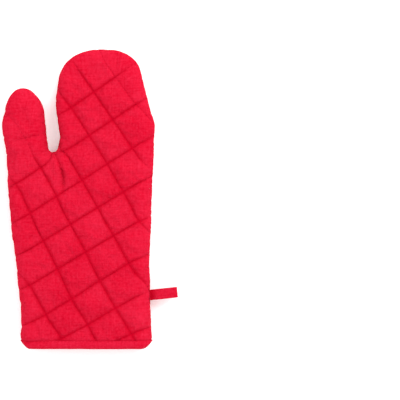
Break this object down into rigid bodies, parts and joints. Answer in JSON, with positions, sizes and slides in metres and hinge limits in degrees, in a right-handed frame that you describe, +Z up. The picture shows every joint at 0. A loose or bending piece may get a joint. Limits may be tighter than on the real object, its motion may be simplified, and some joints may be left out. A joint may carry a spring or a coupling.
{
  "type": "oven mitt",
  "caption": "Quilted cotton oven mitt lying flat, with a separate thumb, a bound hand opening and a folded tape loop to hang it by.",
  "frame": {"origin": "on the table under the middle of the whole mitt", "axes": "+Y from the hand opening to the fingertips, +X towards the side with the hanging loop, +Z up out of the front panel"},
  "size_m": [0.1788, 0.3061, 0.028],
  "materials": {
    "cover_fabric": "plain woven cotton, quilted",
    "binding_fabric": "plain woven cotton, folded",
    "loop_tape": "folded cotton tape",
    "sewing_thread": "spun thread",
    "overlock_thread": "spun thread",
    "lining_fabric": "plain woven cotton, natural",
    "batting": "needled cotton felt"
  },
  "bodies": {
    "palm": {"palm_front_cover": "cover_fabric", "palm_back_cover": "cover_fabric", "palm_front_batting": "batting", "palm_back_batting": "batting", "palm_front_lining": "lining_fabric", "palm_back_lining": "lining_fabric", "palm_front_quilting_thread": "sewing_thread", "palm_back_quilting_thread": "sewing_thread", "palm_seam_thread": "sewing_thread", "palm_overlock_thread": "overlock_thread", "cuff_binding": "binding_fabric", "binding_topstitch": "sewing_thread", "loop_tail": "loop_tape", "loop_bartack": "sewing_thread"},
    "fingers": {"fingers_front_cover": "cover_fabric", "fingers_back_cover": "cover_fabric", "fingers_front_batting": "batting", "fingers_back_batting": "batting", "fingers_front_lining": "lining_fabric", "fingers_back_lining": "lining_fabric", "fingers_front_quilting_thread": "sewing_thread", "fingers_back_quilting_thread": "sewing_thread", "fingers_seam_thread": "sewing_thread", "fingers_overlock_thread": "overlock_thread"},
    "thumb": {"thumb_front_cover": "cover_fabric", "thumb_back_cover": "cover_fabric", "thumb_front_batting": "batting", "thumb_back_batting": "batting", "thumb_front_lining": "lining_fabric", "thumb_back_lining": "lining_fabric", "thumb_front_quilting_thread": "sewing_thread", "thumb_back_quilting_thread": "sewing_thread", "thumb_seam_thread": "sewing_thread", "thumb_overlock_thread": "overlock_thread"},
    "loop": {"hanging_loop": "loop_tape"}
  },
  "joints": [
    {"name": "fingers_fold", "type": "hinge", "parent": "palm", "child": "fingers", "pos_m": [0.012, 0.084, 0.0228], "axis": [1, 0, 0], "range_deg": [0, 70]},
    {"name": "thumb_fold", "type": "hinge", "parent": "palm", "child": "thumb", "pos_m": [-0.0384, 0.0485, 0.0243], "axis": [0.8007, 0.599, 0], "range_deg": [0, 45]},
    {"name": "loop_swing", "type": "hinge", "parent": "palm", "child": "loop", "pos_m": [0.0627, -0.0968, 0.011], "axis": [0.1045, -0.9945, 0], "range_deg": [-60, 85]}
  ]
}
